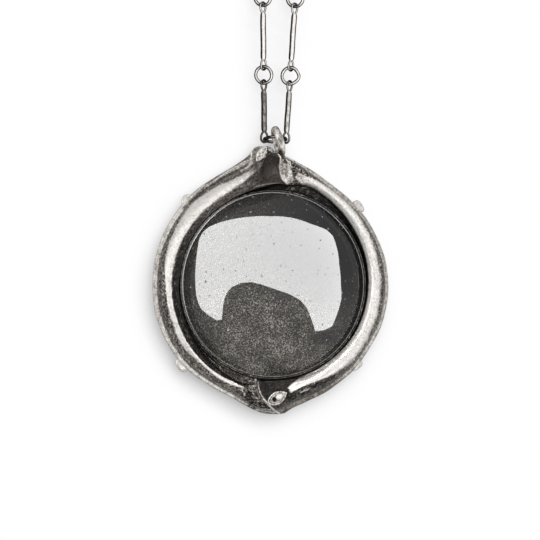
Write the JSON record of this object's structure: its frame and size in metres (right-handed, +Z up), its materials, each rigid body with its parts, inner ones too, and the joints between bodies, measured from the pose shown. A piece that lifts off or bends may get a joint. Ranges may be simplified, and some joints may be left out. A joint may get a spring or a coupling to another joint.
{
  "type": "ouroboros pendant on a chain",
  "caption": "Round pendant: two serpents bite each other's tails round a dark domed stone, on a bar-and-ring neck chain with a barrel clasp.",
  "frame": {"origin": "underside of the clasp's barrel, the point that the chain's loop hangs from", "axes": "+Z up along the hanging loop, the pendant's face looks along -Y, +X to the right seen from the front"},
  "size_m": [0.0457, 0.0112, 0.2718],
  "materials": {
    "silver": "oxidised sterling silver, worn bright on the ridges and nearly black in the hollows",
    "dark_silver": "oxidised sterling silver wire, darker than the frame",
    "stone": "polished black volcanic glass with a fine silvery sheen"
  },
  "bodies": {
    "necklace": {"centre_ring": "dark_silver", "chain_left": "dark_silver", "chain_right": "dark_silver", "clasp": "dark_silver"},
    "pendant": {"serpent_frame": "silver", "stone": "stone"}
  },
  "joints": [
    {"name": "pendant_swing", "type": "hinge", "parent": "necklace", "child": "pendant", "pos_m": [-0.00609, -0.00205, -0.21589], "axis": [1, 0, 0], "range_deg": [-80, 20]}
  ]
}
